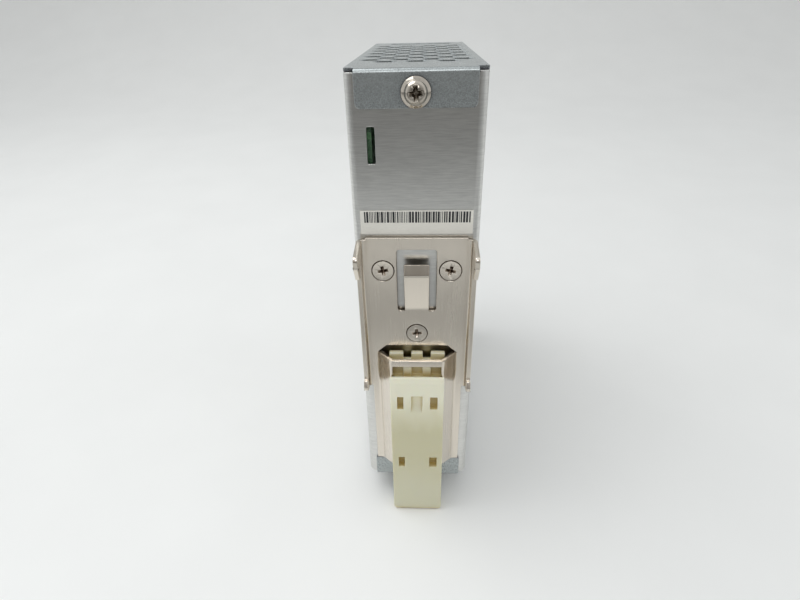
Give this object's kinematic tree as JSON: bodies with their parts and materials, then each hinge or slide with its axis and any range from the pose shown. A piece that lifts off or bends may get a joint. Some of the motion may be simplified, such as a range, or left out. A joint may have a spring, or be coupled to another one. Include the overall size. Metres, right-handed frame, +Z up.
{
  "type": "din rail power supply",
  "caption": "Slim metal-cased power supply that hooks onto a 35 mm top-hat rail, with a spring-loaded release slider and screw terminals.",
  "frame": {"origin": "centre of the bracket's rail-side face, on the centre line of the rail", "axes": "+X across the narrow case, +Y from the rail to the front panel, +Z up"},
  "size_m": [0.032, 0.102, 0.1336],
  "materials": {
    "brushed_aluminium": "brushed sheet, fine horizontal grain",
    "galvanised_steel": "zinc coated sheet, faint spangle, satin",
    "nickel_plate": "nickel plated, glossy, warm",
    "nickel_screw": "nickel plated, bright",
    "zinc_screw": "zinc plated, bright",
    "spring_steel": "drawn wire",
    "natural_nylon": "moulded natural nylon, ivory, slightly translucent",
    "label_paper": "printed paper sticker with bars",
    "film": "insulating film",
    "circuit_board": "green solder mask on glass epoxy",
    "terminal_plastic": "moulded black",
    "black_epoxy": "moulded epoxy",
    "tinned_brass": "tinned",
    "ferrite": "sintered, matte",
    "winding_tape": "polyester tape over copper",
    "copper_wire": "enamelled copper",
    "capacitor_sleeve": "shrunk sleeve",
    "yellow_box": "moulded box",
    "fuse_ceramic": "glazed",
    "disc_coating": "dipped coating",
    "sink_aluminium": "stamped sheet",
    "green_lens": "clear tinted lens",
    "trimmer_blue": "moulded",
    "trimmer_white": "moulded"
  },
  "bodies": {
    "case": {"housing": "brushed_aluminium", "top_cap": "galvanised_steel", "bottom_cap": "galvanised_steel", "front_panel": "galvanised_steel", "top_cap_screw": "zinc_screw", "bottom_cap_screw": "zinc_screw", "rail_bracket": "nickel_plate", "bracket_screw_left": "nickel_screw", "bracket_screw_right": "nickel_screw", "bracket_screw_lower": "nickel_screw", "slider_spring": "spring_steel", "barcode_label": "label_paper", "insulating_film": "film", "main_board": "circuit_board", "board_post_lower": "natural_nylon", "board_post_upper": "natural_nylon", "transformer_core": "ferrite", "transformer_winding": "winding_tape", "x_capacitor": "yellow_box", "fuse": "fuse_ceramic", "thermistor": "disc_coating", "line_choke": "copper_wire", "bridge_rectifier": "black_epoxy", "primary_heat_sink": "sink_aluminium", "switching_transistor": "black_epoxy", "bulk_capacitor": "capacitor_sleeve", "optocoupler": "black_epoxy", "output_choke": "copper_wire", "secondary_heat_sink": "sink_aluminium", "output_rectifier": "black_epoxy", "output_capacitor_1": "capacitor_sleeve", "output_capacitor_2": "capacitor_sleeve", "led": "green_lens", "trim_pot_body": "trimmer_blue", "output_terminal_block": "terminal_plastic", "input_terminal_block": "terminal_plastic", "output_contact_1": "tinned_brass", "output_contact_2": "tinned_brass", "output_contact_3": "tinned_brass", "output_contact_4": "tinned_brass", "input_contact_1": "tinned_brass", "input_contact_2": "tinned_brass", "input_contact_3": "tinned_brass"},
    "slider": {"slider": "natural_nylon"},
    "trim_rotor": {"trim_pot_rotor": "trimmer_white"},
    "output_clamp_1": {"output_clamp_1": "tinned_brass"},
    "output_screw_1": {"output_screw_1": "zinc_screw"},
    "output_clamp_2": {"output_clamp_2": "tinned_brass"},
    "output_screw_2": {"output_screw_2": "zinc_screw"},
    "output_clamp_3": {"output_clamp_3": "tinned_brass"},
    "output_screw_3": {"output_screw_3": "zinc_screw"},
    "output_clamp_4": {"output_clamp_4": "tinned_brass"},
    "output_screw_4": {"output_screw_4": "zinc_screw"},
    "input_clamp_1": {"input_clamp_1": "tinned_brass"},
    "input_screw_1": {"input_screw_1": "zinc_screw"},
    "input_clamp_2": {"input_clamp_2": "tinned_brass"},
    "input_screw_2": {"input_screw_2": "zinc_screw"},
    "input_clamp_3": {"input_clamp_3": "tinned_brass"},
    "input_screw_3": {"input_screw_3": "zinc_screw"}
  },
  "joints": [
    {"name": "slider_pull", "type": "slide", "parent": "case", "child": "slider", "axis": [0, 0, -1], "range_m": [0, 0.005], "stiffness_N_per_m": 900, "springref_m": -0.006, "deforming": ["slider_spring"]},
    {"name": "voltage_trim", "type": "hinge", "parent": "case", "child": "trim_rotor", "pos_m": [-0.0068, 0.0902, 0.038], "axis": [0, -1, 0], "range_deg": [-130, 130]},
    {"name": "output_clamp_1_close", "type": "slide", "parent": "case", "child": "output_clamp_1", "axis": [0, -1, 0], "range_m": [0, 0.003]},
    {"name": "output_screw_1_turn", "type": "hinge", "parent": "output_clamp_1", "child": "output_screw_1", "pos_m": [-0.00702, 0.0885, 0.0545], "axis": [0, -1, 0], "range_deg": [0, 2160]},
    {"name": "output_clamp_2_close", "type": "slide", "parent": "case", "child": "output_clamp_2", "axis": [0, -1, 0], "range_m": [0, 0.003]},
    {"name": "output_screw_2_turn", "type": "hinge", "parent": "output_clamp_2", "child": "output_screw_2", "pos_m": [-0.00194, 0.0885, 0.0545], "axis": [0, -1, 0], "range_deg": [0, 2160]},
    {"name": "output_clamp_3_close", "type": "slide", "parent": "case", "child": "output_clamp_3", "axis": [0, -1, 0], "range_m": [0, 0.003]},
    {"name": "output_screw_3_turn", "type": "hinge", "parent": "output_clamp_3", "child": "output_screw_3", "pos_m": [0.00314, 0.0885, 0.0545], "axis": [0, -1, 0], "range_deg": [0, 2160]},
    {"name": "output_clamp_4_close", "type": "slide", "parent": "case", "child": "output_clamp_4", "axis": [0, -1, 0], "range_m": [0, 0.003]},
    {"name": "output_screw_4_turn", "type": "hinge", "parent": "output_clamp_4", "child": "output_screw_4", "pos_m": [0.00822, 0.0885, 0.0545], "axis": [0, -1, 0], "range_deg": [0, 2160]},
    {"name": "input_clamp_1_close", "type": "slide", "parent": "case", "child": "input_clamp_1", "axis": [0, -1, 0], "range_m": [0, 0.003]},
    {"name": "input_screw_1_turn", "type": "hinge", "parent": "input_clamp_1", "child": "input_screw_1", "pos_m": [-0.0058, 0.0885, -0.0545], "axis": [0, -1, 0], "range_deg": [0, 2160]},
    {"name": "input_clamp_2_close", "type": "slide", "parent": "case", "child": "input_clamp_2", "axis": [0, -1, 0], "range_m": [0, 0.003]},
    {"name": "input_screw_2_turn", "type": "hinge", "parent": "input_clamp_2", "child": "input_screw_2", "pos_m": [0.0006, 0.0885, -0.0545], "axis": [0, -1, 0], "range_deg": [0, 2160]},
    {"name": "input_clamp_3_close", "type": "slide", "parent": "case", "child": "input_clamp_3", "axis": [0, -1, 0], "range_m": [0, 0.003]},
    {"name": "input_screw_3_turn", "type": "hinge", "parent": "input_clamp_3", "child": "input_screw_3", "pos_m": [0.007, 0.0885, -0.0545], "axis": [0, -1, 0], "range_deg": [0, 2160]}
  ],
  "couplings": [
    {"joint": "output_screw_1_turn", "follows": "output_clamp_1_close", "rad_per_m": 12566},
    {"joint": "output_screw_2_turn", "follows": "output_clamp_2_close", "rad_per_m": 12566},
    {"joint": "output_screw_3_turn", "follows": "output_clamp_3_close", "rad_per_m": 12566},
    {"joint": "output_screw_4_turn", "follows": "output_clamp_4_close", "rad_per_m": 12566},
    {"joint": "input_screw_1_turn", "follows": "input_clamp_1_close", "rad_per_m": 12566},
    {"joint": "input_screw_2_turn", "follows": "input_clamp_2_close", "rad_per_m": 12566},
    {"joint": "input_screw_3_turn", "follows": "input_clamp_3_close", "rad_per_m": 12566}
  ]
}
